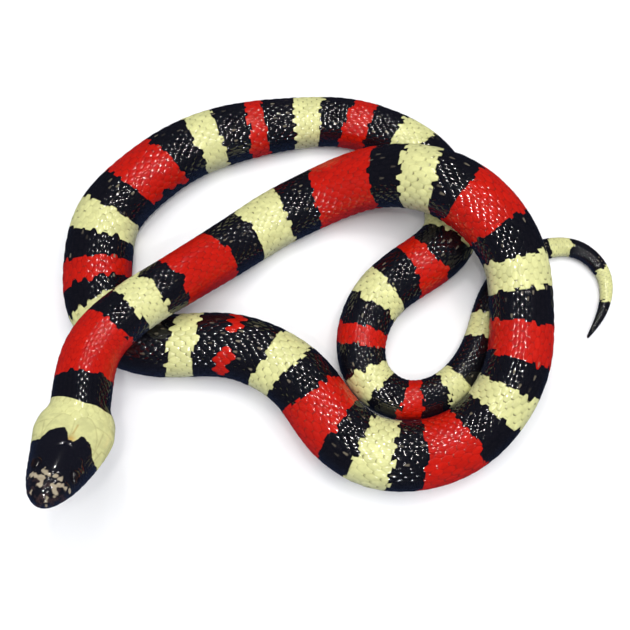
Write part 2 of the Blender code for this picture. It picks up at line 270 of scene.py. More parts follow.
def spine_frames(places):
    """Return the centre, back, left and up; the slope is the rise over a short reach."""
    turn = np.interp(places, plan_distance, plan_heading)
    rise = steady_curve(LIFTS, places + SLOPE_REACH) - steady_curve(LIFTS, places - SLOPE_REACH)
    pitch = np.arctan(rise / (2 * SLOPE_REACH))
    height = steady_curve(LIFTS, places) + DEPTH * steady_curve(WIDTHS, places) / 2
    centre = np.stack([np.interp(places, plan_distance, plan[:, 0]),
                       np.interp(places, plan_distance, plan[:, 1]), height], axis=-1)
    level = np.cos(pitch)
    back = np.stack([np.cos(turn) * level, np.sin(turn) * level, np.sin(pitch)], axis=-1)
    left = np.stack([np.sin(turn), -np.cos(turn), np.zeros_like(turn)], axis=-1)
    up = np.cross(back, -left)
    roll = np.radians(steady_curve(ROLLS, places))[..., None]
    cosine, sine = np.cos(roll), np.sin(roll)
    return centre, back, left * cosine - up * sine, up * cosine + left * sine


def smooth_step(value, low, high):
    """Rise smoothly from 0 at low to 1 at high: 3 t squared less 2 t cubed."""
    t = np.clip((value - low) / (high - low), 0, 1)
    return t * t * (3 - 2 * t)


# %% [markdown]
# ## The outline round the body and the head
#
# Cut across, the body is an ellipse above, and below it is squarer and ends in a flat
# belly. The head is cut across in the same way, with its own half width, top, lip and
# throat at each place. Both outlines use the angle round the middle, so they blend
# into one another behind the jaws, and the lip is always at angle nought.

# %% Outline of the head and the body
HEAD_END = 17.5
MOUTH_CORNER = 9.8
HALF_WIDTHS = [(0.0, 0.9), (0.3, 1.7), (0.8, 2.45), (1.5, 3.05), (3.2, 4.1), (5.3, 5.0),
               (8.4, 6.05), (11.0, 6.8), (12.8, 7.1), (15.0, 6.8), (17.5, 5.6)]
TOPS = [(0.0, 0.2), (0.3, 0.9), (0.8, 1.4), (1.5, 1.8), (3.2, 2.5), (5.3, 3.0), (8.4, 3.5),
        (11.0, 3.8), (14.0, 4.2), (17.5, 4.5)]
LIPS = [(0.0, -1.1), (1.6, -1.2), (5.3, -1.5), (8.0, -1.45), (10.3, -1.0), (17.5, 0.0)]
THROATS = [(0.0, -1.6), (0.3, -1.9), (0.8, -2.2), (1.5, -2.5), (3.2, -2.95), (5.3, -3.3),
           (8.4, -3.8), (11.0, -4.2), (14.0, -4.4), (17.5, -4.5)]
ROUNDS = [(0.0, 2.3), (1.6, 2.2), (5.3, 1.85), (9.0, 2.0), (17.5, 2.0)]
JAW_INSET = 0.25  # the lower lip lies this far inside the upper one
JAW_EDGE = 0.06  # and gets there within this sine of the angle
JAW_SQUARE = 2.3
HEAD_BLEND = (14.5, 19.0)  # from the head's outline to the body's
print("the head is", 2 * max(half for _, half in HALF_WIDTHS), "mm wide")

# %% The outline itself
def rounded(cosine, sine, power):
    """Return the reach of a super-ellipse: one over the power mean of cosine and sine."""
    return (np.abs(cosine) ** power + np.abs(sine) ** power) ** (-1 / power)


def body_outline(cosine, sine):
    """Return across and above for a body of width two: an ellipse, squarer and cut below."""
    down = rounded(cosine, sine, BELLY_ROUND)
    above = np.where(sine < 0, np.maximum(sine * down / BELLY_CUT, -1), sine)
    return cosine * np.where(sine < 0, down, 1.0), DEPTH * above


def outline(places, angle):
    """Return how far each point is to the left of and above the spine.

    On the head, half width and top times a super-ellipse above the lip, and the same
    down to the throat, cut flat, below it. Behind the jaws it turns into the body's.
    """
    cosine, sine = np.cos(angle), np.sin(angle)
    below = sine < 0
    behind = smooth_step(places, MOUTH_CORNER, HEAD_END)
    lip, throat = steady_curve(LIPS, places), steady_curve(THROATS, places)
    half_width = steady_curve(HALF_WIDTHS, places)
    depth = (lip - throat) * (1 + behind * (1 / BELLY_CUT - 1))
    inset = JAW_INSET * (1 - behind) * smooth_step(-sine, 0.0, JAW_EDGE)
    reach_up = rounded(cosine, sine, steady_curve(ROUNDS, places))
    reach_down = rounded(cosine, sine, JAW_SQUARE + (BELLY_ROUND - JAW_SQUARE) * behind)
    across = np.where(below, (half_width - inset) * reach_down, half_width * reach_up) * cosine
    above = np.where(below, np.maximum(lip + depth * sine * reach_down, throat),
                     lip + (steady_curve(TOPS, places) - lip) * sine * reach_up)
    half_body = steady_curve(WIDTHS, places) / 2
    body_across, body_above = [half_body * part for part in body_outline(cosine, sine)]
    share = smooth_step(places, *HEAD_BLEND)
    return across + share * (body_across - across), above + share * (body_above - above)


print("the lip at 5 mm is at", [float(part[0]) for part in outline(np.array([5.0]), np.zeros(1))])

# %% Points on the surface and off it
SMALL = 0.02  # a short step: millimetres along, radians round
TINY = 1e-12  # keeps a length from being nought


def surface(places, angle):
    """Return world points: the centre plus the outline to the left and up."""
    places, angle = np.broadcast_arrays(np.asarray(places, float), np.asarray(angle, float))
    centre, _, left, up = spine_frames(places)
    across, above = outline(places, angle)
    return centre + across[..., None] * left + above[..., None] * up


def raised(places, angle, rise):
    """Return points lifted off the surface by rise, along its outward direction.

    That direction is the cross product of a short step along and one round the body.
    """
    along = surface(places + SMALL, angle) - surface(places - SMALL, angle)
    around = surface(places, angle + SMALL) - surface(places, angle - SMALL)
    outward = np.cross(along, around)
    outward /= np.linalg.norm(outward, axis=-1, keepdims=True) + TINY
    points = surface(places, angle) + outward * rise[..., None]
    points[..., 2] = np.maximum(points[..., 2], 0.0)
    return points


back_at = raised(np.array([150.0]), np.array([math.pi / 2]), np.array([0.0]))
print("top of the back at 150 mm:", np.round(back_at[0], 2))

# %% [markdown]
# ## Even rows round the body
#
# Scales stand in even rows, so a place round the body is better given by the share q
# of the way along the outline: nought on the back, one under the belly, positive on
# the left. The share is the length of the outline so far over its whole length,
# measured once on a body of width two, because every other is a copy of it in size.

# %% Share of the way round, and its angle
OUTLINE_SAMPLES = 2001
fine = np.linspace(math.pi / 2, -math.pi / 2, OUTLINE_SAMPLES)
fine_length = lengths_along(np.stack(body_outline(np.cos(fine), np.sin(fine)), axis=1))
OUTLINE_LENGTH = float(fine_length[-1])  # half way round, on a body of width two
fine_share = fine_length / OUTLINE_LENGTH


def wrapped(share):
    """Count a share past the middle of the belly from the other side."""
    return np.where(share > 1, share - 2, share)


def turned(angle):
    """Bring an angle between a quarter turn below nought and three quarters above it."""
    return np.mod(angle + math.pi / 2, 2 * math.pi) - math.pi / 2


def angle_at(share):
    """Turn a share of the way round into the angle, mirrored from left to right."""
    share = wrapped(share)
    angle = np.interp(np.abs(share), fine_share, fine)
    return np.where(share < 0, math.pi - angle, angle)


def share_at(angle):
    """Turn an angle into the share of the way round, negative on the right."""
    angle = turned(angle)
    right = angle > math.pi / 2
    share = np.interp(-np.where(right, math.pi - angle, angle), -fine, fine_share)
    return np.where(right, -share, share)


print(f"half way round is {OUTLINE_LENGTH:.2f} times half the width")

# %% [markdown]
# ## The rings of colour
#
# Each ring ends at a place along the spine, read off the photograph, with its slant,
# how much further back it ends on the left than on the right. On the snake the
# colour changes from one scale to the next, so the ring's edge is as jagged as the
# scales. The cap of the head and the collar have edges of their own, given by the
# angle round the head. Reds and creams differ a little from ring to ring.

# %% Where each colour ends
RINGS = [
    (16.1, "Y", 0), (22.7, "K", 0), (35.4, "R", 1.5), (40.2, "K", 0.5), (45.1, "Y", 1),
    (49.6, "K", 0.5), (60.7, "R", 3), (69.3, "K", 0), (78.2, "Y", -1.5), (86.2, "K", -3.5),
    (99.5, "R", 0), (105.4, "K", 1), (111.6, "Y", 2), (117.4, "K", -1.5), (127.3, "R", -1),
    (134.1, "K", -1.5), (140.7, "Y", 1.5), (147.0, "K", -1.5), (154.4, "R", -1.5), (159.8, "K", 0),
    (165.8, "Y", 0.5), (173.2, "K", 1), (182.5, "R", -3.5), (188.7, "K", -2.5), (195.3, "Y", 0.5),
    (201.3, "K", 3.5), (209.7, "R", -1), (216.0, "K", -2), (221.7, "Y", -1.5), (236.1, "K", -3),
    (241.3, "Y", -3.5), (250.8, "K", -1), (253.0, "R", 0), (255.0, "K", 2), (260.7, "Y", 3.5),
    (264.7, "K", 3.5), (269.3, "R", 1.5), (274.9, "K", -3.5), (281.0, "Y", 0), (287.8, "K", 2),
    (298.0, "R", 3.5), (305.2, "K", 0), (310.8, "Y", 0.5), (317.4, "K", -1), (321.2, "R", 0),
    (327.7, "K", -1.5), (333.4, "Y", -1.5), (339.4, "K", -3), (344.6, "R", 0), (350.8, "K", -2),
    (356.8, "Y", -2.5), (362.5, "K", 0), (367.5, "R", 0), (373.0, "K", 0), (379.5, "Y", 0),
    (385.6, "K", 2), (390.5, "R", -2.5), (396.6, "K", -2), (401.6, "Y", -2), (407.0, "K", -0.5),
    (410.7, "R", -1.5), (415.6, "K", 0), (420.3, "Y", -0.5), (425.4, "K", -2), (429.2, "R", -1),
    (434.3, "K", -1), (438.4, "Y", 0.5), (448.5, "K", 3), (453.4, "Y", 0), (462.5, "K", 0),
    (467.0, "Y", 0), (475.5, "K", 0), (480.3, "Y", 0), (488.8, "K", 0), (496.1, "Y", 0),
    (510.0, "K", 0),
]
# Angle round the head, in degrees from the left lip, and where the black cap ends.
CAP_EDGE = [(-90, 7.6), (-20, 7.8), (0, 8.3), (12, 8.2), (21, 7.95), (39, 8.35), (49, 9.05),
            (63, 9.85), (70, 10.1), (74, 10.0), (77, 9.15), (82, 8.55), (90, 8.8), (96, 9.9),
            (101, 10.7), (109, 10.4), (124, 9.8), (142, 8.65), (165, 9.2), (180, 9.4),
            (200, 8.6), (270, 7.6)]
# The same for the back edge of the collar.
COLLAR_EDGE = [(-90, 15.5), (10, 15.95), (41, 15.5), (59, 15.9), (80, 15.85), (96, 16.45),
               (128, 17.45), (171, 19.1), (190, 19.3), (270, 15.5)]
COLLAR_FADE = (17.0, 24.0)  # behind the collar its slant dies away
SLANT_REACH = 0.6  # the slant grows up to this share of the way round
print(len(RINGS), "rings of colour")

# %% The kind of colour at a point
KINDS = "KYR"
ring_ends = np.array([end for end, _, _ in RINGS])
ring_kinds = np.array([KINDS.index(kind) for _, kind, _ in RINGS])
ring_slants = np.array([slant for _, _, slant in RINGS])
# Broken red of the eighth ring: distance, share of the way round, and half sizes.
RED_FLECKS = [
    (229.4, 0.36, 1.4, 0.06), (228.6, 0.22, 1.0, 0.07), (229.0, 0.13, 0.7, 0.03),
    (229.4, -0.05, 0.9, 0.05), (229.5, -0.14, 1.4, 0.05), (230.0, -0.23, 1.9, 0.05),
    (230.6, -0.33, 2.3, 0.07), (230.8, -0.42, 1.8, 0.05),
]
BLACK_FLECKS = [(293.4, 0.63, 7.0, 0.22)]  # the black below the tenth red ring


def edge_at(edge, angle):
    """Read a table of an edge, given by degrees round the head, at the angle."""
    return np.interp(np.degrees(turned(angle)), *np.array(edge).T)


def ring_place(places, angle):
    """Return the distance to look up in the table of rings, with every slant taken out."""
    side = np.clip(share_at(angle), -SLANT_REACH, SLANT_REACH)
    slanted = places - np.interp(places, ring_ends, ring_slants) * side
    collar = ring_ends[0] - edge_at(COLLAR_EDGE, angle)
    return slanted + collar * (1 - smooth_step(places, *COLLAR_FADE))


def kind_at(places, angle):
    """Return 0 for black, 1 for cream and 2 for red at each place and angle."""
    ring = np.searchsorted(ring_ends, ring_place(places, angle), side="right")
    kind = ring_kinds[np.clip(ring, 0, len(RINGS) - 1)]
    return np.where(places < edge_at(CAP_EDGE, angle), 0, kind)


def in_fleck(places, share, flecks):
    """Tell which places lie in one of the flecks, each an ellipse."""
    inside = np.zeros(np.shape(places), bool)
    for place, side, long, wide in flecks:
        inside |= ((places - place) / long) ** 2 + ((share - side) / wide) ** 2 < 1
    return inside


# The colour of a scale's middle; of its edge, darker as painted shade where scales overlap;
# and of its middle low on the flank, darker as painted shade, and on black a painted blue
# reflection: black, cream, red.
SCALE_COLOURS = np.array([(0.0050, 0.0042, 0.0055), (0.715, 0.71, 0.32), (0.53, 0.010, 0.002)])
RIM_SHADE_COLOURS = np.array([(0.0012, 0.0012, 0.0018), (0.53, 0.51, 0.20), (0.30, 0.004, 0.001)])
FLANK_SHADE_AND_REFLECTION = np.array([(0.010, 0.018, 0.045), (0.50, 0.51, 0.36), (0.43, 0.012, 0.010)])
BUFF = np.array([0.46, 0.39, 0.27])
print("on the back at 30 mm:", KINDS[int(kind_at(30.0, math.pi / 2))])

# %% [markdown]
# ## Shields and seams of the head
#
# A snake's head is covered by large plates, the shields, with fine seams between
# them. The seams are short polylines on the surface. Each vertex of the skin measures
# its distance to the nearest seam, and sinks close to one, so the plates stand out as
# shallow cushions. The mouth line is a deeper seam along the lip, and the nostrils are
# small pits.

# %% Seams on the head
# On the crown: distance from the snout and distance from the middle line.
CROWN_SEAMS = [
    [(0.9, 1.6), (1.3, 0.0)],
    [(1.3, 0.0), (3.5, 0.0)],
    [(2.4, 0.0), (2.2, 2.4)],
    [(3.5, 0.0), (3.7, 1.6), (4.1, 2.5)],
    [(4.1, 2.5), (3.6, 3.1)],
    [(4.1, 2.5), (7.0, 2.2), (8.3, 0.0)],
    [(7.0, 2.2), (7.3, 3.9)],
    [(8.3, 0.0), (12.5, 0.0)],
    [(7.3, 3.9), (9.0, 4.8), (10.8, 4.5), (12.3, 3.7), (13.2, 2.6), (13.3, 1.4), (12.5, 0.0)],
]
# On the sides: distance from the snout, and degrees above the lip.
SIDE_SEAMS = [
    [(0.5, 22), (1.6, 27), (3.4, 27), (5.0, 20), (6.4, 27), (8.2, 30), (9.9, 27), (10.3, 10),
     (10.3, -8)],
    [(0.5, 22), (0.6, 50), (1.1, 62)],
    [(2.2, 27), (2.3, 58), (3.4, 58), (3.6, 62)],
    [(3.3, 27), (3.4, 58)],
    [(6.2, 27), (6.5, 44), (7.3, 52)],
    [(6.5, 40), (9.2, 40), (12.3, 42)],
    [(9.2, 27), (9.2, 56)],
    [(12.3, 20), (12.3, 56)],
    [(10.3, 10), (12.3, 14)],
    [(0.8, -30), (2.6, -34), (5.2, -33), (7.6, -30), (9.6, -24), (10.3, -8)],
    [(2.0, -90), (7.6, -90)],
    [(1.2, -52), (3.6, -48), (5.4, -56), (5.6, -90)],
    [(5.4, -56), (7.6, -60), (7.8, -90)],
]
UPPER_LIP_CUTS = (1.5, 2.7, 3.9, 5.1, 6.4, 8.0)
LOWER_LIP_CUTS = (1.7, 2.9, 4.1, 5.4, 6.8, 8.3)
DEGREES_PER_MM = 12  # on the sides of the head, for even steps
SEAM_STEP = 0.08
SEAM_WIDTH = 0.13
SEAM_DEPTH = 0.06
SEAM_SHADE = 0.26  # how dark a seam is beside the mouth line
SEAM_FADE = (13.0, 14.0)
CUSHION = 0.05  # how high a shield stands away from its seams
CUSHION_WIDTH = 0.7
LIP_WIDTH = 0.10
LIP_DEPTH = 0.34
# Places of nostril and eye: from the snout, from the middle line, above the spine.
NOSTRIL_AT = (1.3, 3.1, 0.45)
NOSTRIL_RADIUS = 0.30
NOSTRIL_DEPTH = 0.5
EYE_AT = (4.8, 3.2, 1.1)
EYE_RADIUS = 1.2
RIM_GAP, RIM_WIDTH, RIM_RISE = 0.15, 0.16, 0.05
SIDES = {"eye_left": 1, "eye_right": -1}
print(2 * len(CROWN_SEAMS + SIDE_SEAMS), "long seams on the head")

# %% Measure to the seams
def walk(corners):
    """Return points at even steps along a polyline of two columns."""
    corners = np.array(corners, float)
    lengths = lengths_along(corners)
    at = np.linspace(0, lengths[-1], max(3, int(lengths[-1] / SEAM_STEP)))
    return np.stack([np.interp(at, lengths, column) for column in corners.T], axis=1)


def crown_angle(places, across):
    """Find the angle of a point of the crown from its distance to the middle line."""
    angles = np.linspace(0.02, math.pi / 2, 400)
    table, _ = outline(places[:, None], angles[None, :])
    return np.array([np.interp(-a, -row, angles) for a, row in zip(across, table)])


def seam_points():
    """Return the world points of every seam of the left side and of the right side."""
    found = [(line[:, 0], crown_angle(line[:, 0], line[:, 1])) for line in map(walk, CROWN_SEAMS)]
    cuts = [[(s, 0), (s + 0.15, 27)] for s in UPPER_LIP_CUTS]
    cuts += [[(s, -3), (s + 0.1, -32)] for s in LOWER_LIP_CUTS]
    for seam in SIDE_SEAMS + cuts:
        place, turn = walk([(s, degrees / DEGREES_PER_MM) for s, degrees in seam]).T
        found.append((place, np.radians(turn * DEGREES_PER_MM)))
    place, angle = [np.concatenate(part) for part in zip(*found)]
    return np.concatenate([surface(place, angle), surface(place, math.pi - angle)])


def nearest(points, targets, block=4000):
    """Return each point's distance to the nearest target, worked out in blocks."""
    targets = targets.astype(np.float32)
    size = (targets ** 2).sum(axis=1)
    parts = []
    for start in range(0, len(points), block):
        some = points[start:start + block].astype(np.float32)
        square = (some ** 2).sum(axis=1)[:, None] + size[None, :] - 2 * some @ targets.T
        parts.append(np.sqrt(np.maximum(square.min(axis=1), 0)))
    return np.concatenate(parts)


def head_spot(place, side, above):
    """Return a world point given from the snout, the middle line and the spine."""
    centre, _, left, up = spine_frames(np.array([place]))
    return (centre + side * left + above * up)[0]


def both_sides(at):
    """Return the world points on the left and on the right, by the name of the eye."""
    return {name: head_spot(at[0], side * at[1], at[2]) for name, side in SIDES.items()}


seams = seam_points()
lip_line = np.linspace(0.0, MOUTH_CORNER - 0.2, 140)
lips = np.concatenate([surface(lip_line, 0.0), surface(lip_line, math.pi)])
EYES, NOSTRILS = both_sides(EYE_AT), both_sides(NOSTRIL_AT)
print(len(seams), "points on the seams of the head")

# %% [markdown]
# ## One skin
#
# The skin is one closed tube from the snout to the tip of the tail: rings of points,
# joined by quads. The head needs fine rings for its seams, and the body, which scales
# cover, needs few. Where the number of points in a ring halves, three triangles join
# two fine edges to one coarse edge. The snout is closed by rings that shrink to a point
# on the mouth line, pushed forward as a dome.

# %% Relief of the skin
SKIN_SINK = 0.08  # the skin lies this far inside the solids, under the scales
SINK_START = 12.5  # and from here back, not on the front of the head
HEAD_SIDES = 320
HEAD_STEP = 0.1
FINE_END = 14.2
MIDDLE_END = 17.2
BODY_STEP = 1.2
SNOUT_SHRINK = (0.15, 0.4, 0.65, 0.85)
SNOUT_DOME = 0.28
TAIL_DOME = 0.4


def ring_angles(sides):
    """Return even angles round a ring, from the left lip over the back."""
    return np.linspace(0, 2 * math.pi, sides, endpoint=False)


def bell(distance, width):
    """Fall from 1 to 0 with distance: e to the minus square of distance over width."""
    return np.exp(-(distance / width) ** 2)


def head_relief(points, places):
    """Return each skin point's rise, and how far it lies in a seam or the mouth line.

    The rise is cushions less seams, lips and nostrils, with a rim round each eye.
    """
    seam, lip = nearest(points, seams), nearest(points, lips)
    in_seam, in_lip = bell(seam, SEAM_WIDTH), bell(lip, LIP_WIDTH)
    fade = 1 - smooth_step(places, *SEAM_FADE)
    rise = CUSHION * (1 - bell(seam, CUSHION_WIDTH)) - SEAM_DEPTH * in_seam
    rise = rise * fade - LIP_DEPTH * in_lip
    rise = np.where(lip < 3 * LIP_WIDTH, np.minimum(rise, 0.0), rise)
    for spot in NOSTRILS.values():
        away = np.linalg.norm(points - spot, axis=1)
        wall = smooth_step(away, 0.4 * NOSTRIL_RADIUS, 1.3 * NOSTRIL_RADIUS)
        rise = rise - NOSTRIL_DEPTH * (1 - wall)
    for spot in EYES.values():
        away = np.linalg.norm(points - spot, axis=1)
        rise = rise + RIM_RISE * bell(away - EYE_RADIUS - RIM_GAP, RIM_WIDTH)
    return rise, np.maximum(SEAM_SHADE * in_seam * fade, in_lip)


print("a seam is", SEAM_DEPTH, "mm deep, the mouth line", LIP_DEPTH)

# %% The rings of the skin
zones = [
    (np.arange(HEAD_STEP, FINE_END, HEAD_STEP), HEAD_SIDES),
    (np.arange(FINE_END, MIDDLE_END, 3 * HEAD_STEP), HEAD_SIDES // 2),
    (np.linspace(MIDDLE_END, LENGTH, int((LENGTH - MIDDLE_END) / BODY_STEP)), HEAD_SIDES // 4),
]
ring_counts = [sides for places, sides in zones for _ in places]
skin_places = np.repeat(np.concatenate([places for places, _ in zones]), ring_counts)
skin_angles = np.concatenate([ring_angles(count) for count in ring_counts])
on_head = skin_places < FINE_END
skin_points = surface(skin_places, skin_angles)
relief = np.full(len(skin_places), -SKIN_SINK)
grooves = np.zeros(len(skin_places))
rise, grooves[on_head] = head_relief(skin_points[on_head], skin_places[on_head])
relief[on_head] = rise - SKIN_SINK * smooth_step(skin_places[on_head], SINK_START, FINE_END)
skin_points = raised(skin_places, skin_angles, relief)
print(len(ring_counts), "rings in the skin")

# %% The closed ends of the skin
_, tip_back, _, tip_up = [part[0] for part in spine_frames(np.array([0.0]))]
tip_ring = surface(0.0, ring_angles(HEAD_SIDES))
tip_centre = head_spot(0.0, 0.0, LIPS[0][1])
caps = [tip_centre - SNOUT_DOME * tip_back]
for share in SNOUT_SHRINK:
    shrunk = tip_centre + share * (tip_ring - tip_centre)
    caps.append(shrunk - SNOUT_DOME * (1 - share ** 2) * tip_back)
caps.append(tip_ring)
cap_points = np.vstack(caps)
off_lip = np.abs((cap_points - tip_centre) @ tip_up)
cap_grooves = bell(np.minimum(nearest(cap_points, lips), off_lip), LIP_WIDTH)
cap_points = cap_points + LIP_DEPTH * cap_grooves[:, None] * tip_back
tail_back = spine_frames(np.array([LENGTH]))[1][0]
tail_point = skin_points[-ring_counts[-1]:].mean(axis=0) + TAIL_DOME * tail_back

skin_vertices = np.vstack([cap_points, skin_points, tail_point])
skin_places = np.concatenate([np.zeros(len(cap_points)), skin_places, [LENGTH]])
cap_angles = np.tile(ring_angles(HEAD_SIDES), len(caps) - 1)
skin_angles = np.concatenate([[math.pi / 2], cap_angles, skin_angles, [math.pi / 2]])
skin_grooves = np.concatenate([cap_grooves, grooves, [0.0]])
print(len(skin_vertices), "points in the skin")

# %% [markdown]
# The faces only need to know where each ring starts in the list of points. The same
# helper makes every mesh of the lesson: it takes points in millimetres and faces, and
# leaves the object at the origin.

# %% The faces of the skin
def ring_faces(first, second, sides):
    """Join two rings of the same count with quads that face out."""
    here = np.arange(sides)
    there = (here + 1) % sides
    return np.stack([first + here, first + there, second + there, second + here], axis=1)[:, ::-1]


def halving_faces(first, second, sides):
    """Join a ring to one with half its points: three triangles for two fine edges."""
    coarse = np.arange(sides // 2)
    a, b, c = 2 * coarse, 2 * coarse + 1, (2 * coarse + 2) % sides
    d, e = coarse, (coarse + 1) % (sides // 2)
    faces = [np.stack([first + a, second + d, first + b], axis=1),
             np.stack([first + b, second + d, second + e], axis=1),
             np.stack([first + b, second + e, first + c], axis=1)]
    return np.concatenate(faces)


def fan_faces(centre, first, sides, outward_back):
    """Close a ring with triangles to one point."""
    here = np.arange(sides)
    there = (here + 1) % sides
    order = (there, here) if outward_back else (here, there)
    return np.stack([np.full(sides, centre), first + order[0], first + order[1]], axis=1)


print("a ring joins the next with", len(ring_faces(0, 8, 8)), "faces for 8 points")

# %% A mesh and what is stored on it
def make_mesh(name, points, faces, material, sharp=None):
    """Put points, given in millimetres, and lists of faces into a new smooth object."""
    mesh = bpy.data.meshes.new(name)
    faces = [face for part in faces for face in part.tolist()]
    mesh.from_pydata((points * MM).tolist(), [], faces)
    mesh.shade_smooth()
    if sharp:
        mesh.set_sharp_from_angle(angle=math.radians(sharp))
    mesh.materials.append(material)
    return add_object(name, mesh)


FIELDS = {1: ("FLOAT", "value"), 3: ("FLOAT_VECTOR", "vector"), 4: ("FLOAT_COLOR", "color")}


def paint(item, name, values):
    """Store a number, three numbers or a colour for each point, for the material to read."""
    kind, field = FIELDS[values.size // len(values)]
    attribute = item.data.attributes.new(name, kind, "POINT")
    attribute.data.foreach_set(field, values.astype(np.float32).ravel())


all_counts = [HEAD_SIDES] * (len(caps) - 1) + ring_counts
starts = 1 + np.concatenate([[0], np.cumsum(all_counts)])
skin_faces = [fan_faces(0, 1, HEAD_SIDES, False)]
for first, second, sides, sides_after in zip(starts, starts[1:], all_counts, all_counts[1:]):
    join = ring_faces if sides == sides_after else halving_faces
    skin_faces.append(join(first, second, sides))
skin_faces.append(fan_faces(len(skin_vertices) - 1, starts[-2], all_counts[-1], True))
print(sum(len(part) for part in skin_faces), "faces in the skin")

# %% [markdown]
# ## Colour of the skin
#
# The skin carries the same rings as the scales, and its black turns low on the flanks to
# a painted blue reflection. On the head it also has the cream marks of the snout, a few
# short strokes with soft, uneven edges. Each point's colour is an attribute, and the
# material adds the fine mottling and the dark of the seams.

# %% Markings of the head
# Cream strokes: distance from the snout and across at both ends, and half width.
SNOUT_MARKS = [
    (3.0, -3.3, 2.6, -2.1, 0.30), (2.6, -2.1, 2.35, -1.1, 0.36), (2.3, -1.25, 1.65, -1.0, 0.36),
    (1.55, -1.5, 1.5, -1.6, 0.26), (3.4, -1.4, 3.05, -0.5, 0.38), (3.25, 0.55, 3.2, 1.6, 0.30),
    (1.95, 0.9, 1.3, 1.9, 0.34), (2.0, 1.1, 2.4, 2.0, 0.27), (2.55, 2.3, 2.55, 2.9, 0.22),
    (0.3, 0.8, 0.3, 1.0, 0.20), (0.65, -1.9, 0.7, -2.0, 0.15), (2.95, 3.55, 2.9, 3.65, 0.16),
]
SUTURE_MARK = (9.9, 0.35, 11.5, 0.70, 0.16)  # a brown stroke on the seam of the crown
MARK_EDGE = (0.65, 1.15)  # a stroke fades between these shares of its half width
MARKS_END = 5.0
EDGE_WOBBLE = 0.12  # millimetres, so that the cap's edge isn't ruled
# Where the painted blue reflection on the black skin of the flank sets in.
SKIN_REFLECTION_FLANK = (0.25, 0.55)  # shares of the way round where the flank sets in
RUST_END, RUST_PATCHES = (1.6, 3.0), (-0.1, 0.7)
UNDER_LIP = -0.05  # sine of the angle
CHIN_START, CHIN_PATCHES = 2.5, 0.5  # buff spots on the black chin
NOTCH_AT, NOTCH_SIZE = (8.9, 0.35), 0.7  # the amber notch at the back of the cap
RUST = np.array([0.055, 0.030, 0.026])
AMBER = np.array([0.62, 0.36, 0.07])
print(len(SNOUT_MARKS), "marks on the snout")

# %% Colour of each point
WAVE_COUNT = 24
noise = np.random.default_rng(11)
WAVES = noise.normal(size=(WAVE_COUNT, 3)) * 1.1
WAVE_PHASES = noise.uniform(0, 2 * math.pi, WAVE_COUNT)


def ripple(points, scale):
    """Return smooth noise about -1 to 1: a sum of waves in fixed, mixed directions."""
    return np.sin((points * scale) @ WAVES.T + WAVE_PHASES).sum(axis=-1) / 5.0


def stroke(places, across, start, side, end, end_side, half_width):
    """Return the distance to a stroke over its half width: 1 on its edge."""
    along = np.array([end - start, end_side - side])
    t = np.clip(((places - start) * along[0] + (across - side) * along[1]) / (along @ along), 0, 1)
    return np.hypot(places - start - t * along[0], across - side - t * along[1]) / half_width


def tinted(colour, share, other):
    """Move a colour towards another one by a share."""
    return colour + share[:, None] * (other - colour)


def skin_colour(points, places, angles):
    """Return the colour of the skin: rings, painted blue reflection on the black flanks, rusty
    snout, marks, notch, seam and chin.
    """
    wobble = EDGE_WOBBLE * ripple(points, 2.2) * (places < FINE_END)
    kind = kind_at(places + wobble, angles)
    across, _ = outline(places, angles)
    crown = np.sin(angles) > 0
    under = (np.sin(angles) < UNDER_LIP) & (places < MOUTH_CORNER)
    # Painted reflection: black skin turns navy low on the flanks, in place of the dim blue room
    # mirrored there.
    flank_painted_light = smooth_step(np.abs(share_at(angles)), *SKIN_REFLECTION_FLANK)
    colour = tinted(SCALE_COLOURS[kind], flank_painted_light * (kind == 0), FLANK_SHADE_AND_REFLECTION[0])
    rust = smooth_step(ripple(points + 7, 3.2), *RUST_PATCHES) * (kind == 0)
    colour = tinted(colour, 0.6 * rust * (1 - smooth_step(places, *RUST_END)), RUST)
    near = np.min([stroke(places, across, *mark) for mark in SNOUT_MARKS], axis=0)
    mark = 1 - smooth_step(near + 0.45 * ripple(points, 4.5), *MARK_EDGE)
    colour = tinted(colour, mark * ~(under | (places > MARKS_END)), BUFF)
    notch = 0.85 * bell(places - NOTCH_AT[0], NOTCH_SIZE) * bell(across - NOTCH_AT[1], NOTCH_SIZE)
    colour = tinted(colour, notch * ((kind == 1) & crown), AMBER)
    suture = 0.55 * (1 - smooth_step(stroke(places, across, *SUTURE_MARK), 0.3, 1.5))
    colour = tinted(colour, suture * crown, 0.8 * AMBER)
    chin = under & (kind == 0) & (places > CHIN_START)
    chin = chin & (ripple(points + 3, 2.8) > CHIN_PATCHES)
    return np.where(chin[:, None], BUFF, colour)


colours = skin_colour(skin_vertices, skin_places, skin_angles)
print("share of black points:", round(float((colours.sum(axis=1) < 0.12).mean()), 2))

# %% [markdown]
# ## Materials of scale and skin
#
# A scale is smooth horn: a coloured layer under a clear, glossy one. The colour comes
# from attributes. Towards the scale's rim it turns to the edge colour, a painted shade
# where the scales overlap, and low on the flank to painted shade and, on black, a painted
# blue reflection. The tip may carry a small dark dot. Fine noise on Object coordinates
# breaks the evenness, in colour, in roughness and as a very low bump. Gloss that is the
# same all over is set on the shader itself.

# %% Helpers for materials
def add_node(tree, kind, inputs, **settings):
    """Add a node, set its properties by name and feed its inputs."""
    node = tree.nodes.new(kind)
    for key, value in settings.items():
        setattr(node, key, value)
    return feed(tree, node, inputs)


def attribute(tree, name, part="Vector"):
    """Return what a mesh stores under a name, as a socket."""
    return add_node(tree, "ShaderNodeAttribute", {}, attribute_name=name).outputs[part]


def attribute_parts(tree, name):
    """Return the three parts of a vector attribute."""
    parts = add_node(tree, "ShaderNodeSeparateXYZ", {"Vector": attribute(tree, name)})
    return [parts.outputs[axis] for axis in "XYZ"]


